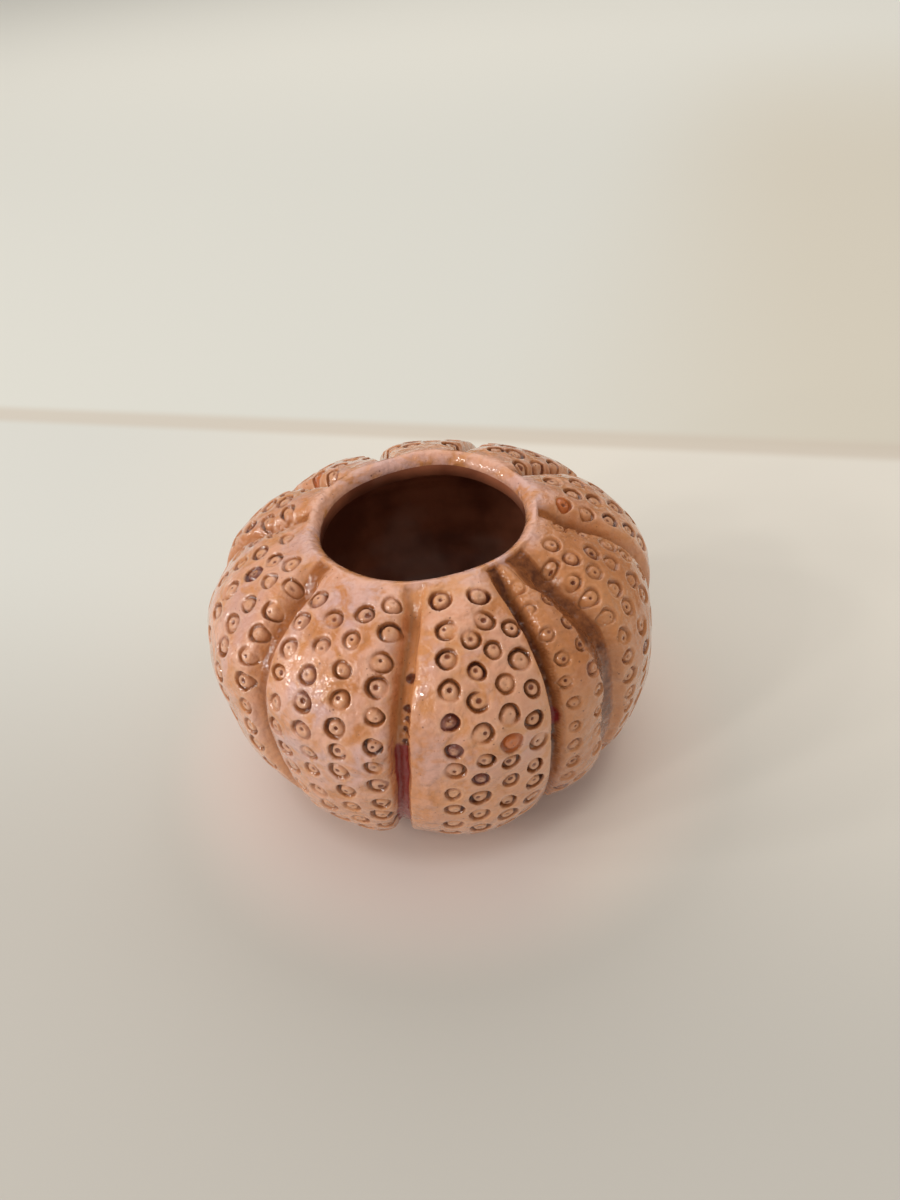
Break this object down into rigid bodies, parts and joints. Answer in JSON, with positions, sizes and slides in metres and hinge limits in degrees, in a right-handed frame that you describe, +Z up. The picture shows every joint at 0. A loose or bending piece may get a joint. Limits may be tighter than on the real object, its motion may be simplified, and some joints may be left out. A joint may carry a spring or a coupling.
{
  "type": "vase",
  "caption": "Small round pottery vase shaped like a sea urchin shell, with hand-cut grooves, stamped rings, a wide rolled mouth, a foot ring and felt foot pads.",
  "frame": {"origin": "on the ground under the middle of the vase, at the underside of the foot pads", "axes": "+Z up along the vase's axis; -Y is the front that the picture shows, +X is to its right"},
  "size_m": [0.0898, 0.0895, 0.0581],
  "materials": {
    "glazed_body": "glossy translucent peach glaze, pooled brown in the stamped rings",
    "felt": "pressed felt"
  },
  "bodies": {
    "root": {"vase_body": "glazed_body", "foot_pad_1": "felt", "foot_pad_2": "felt", "foot_pad_3": "felt", "foot_pad_4": "felt"}
  },
  "joints": []
}
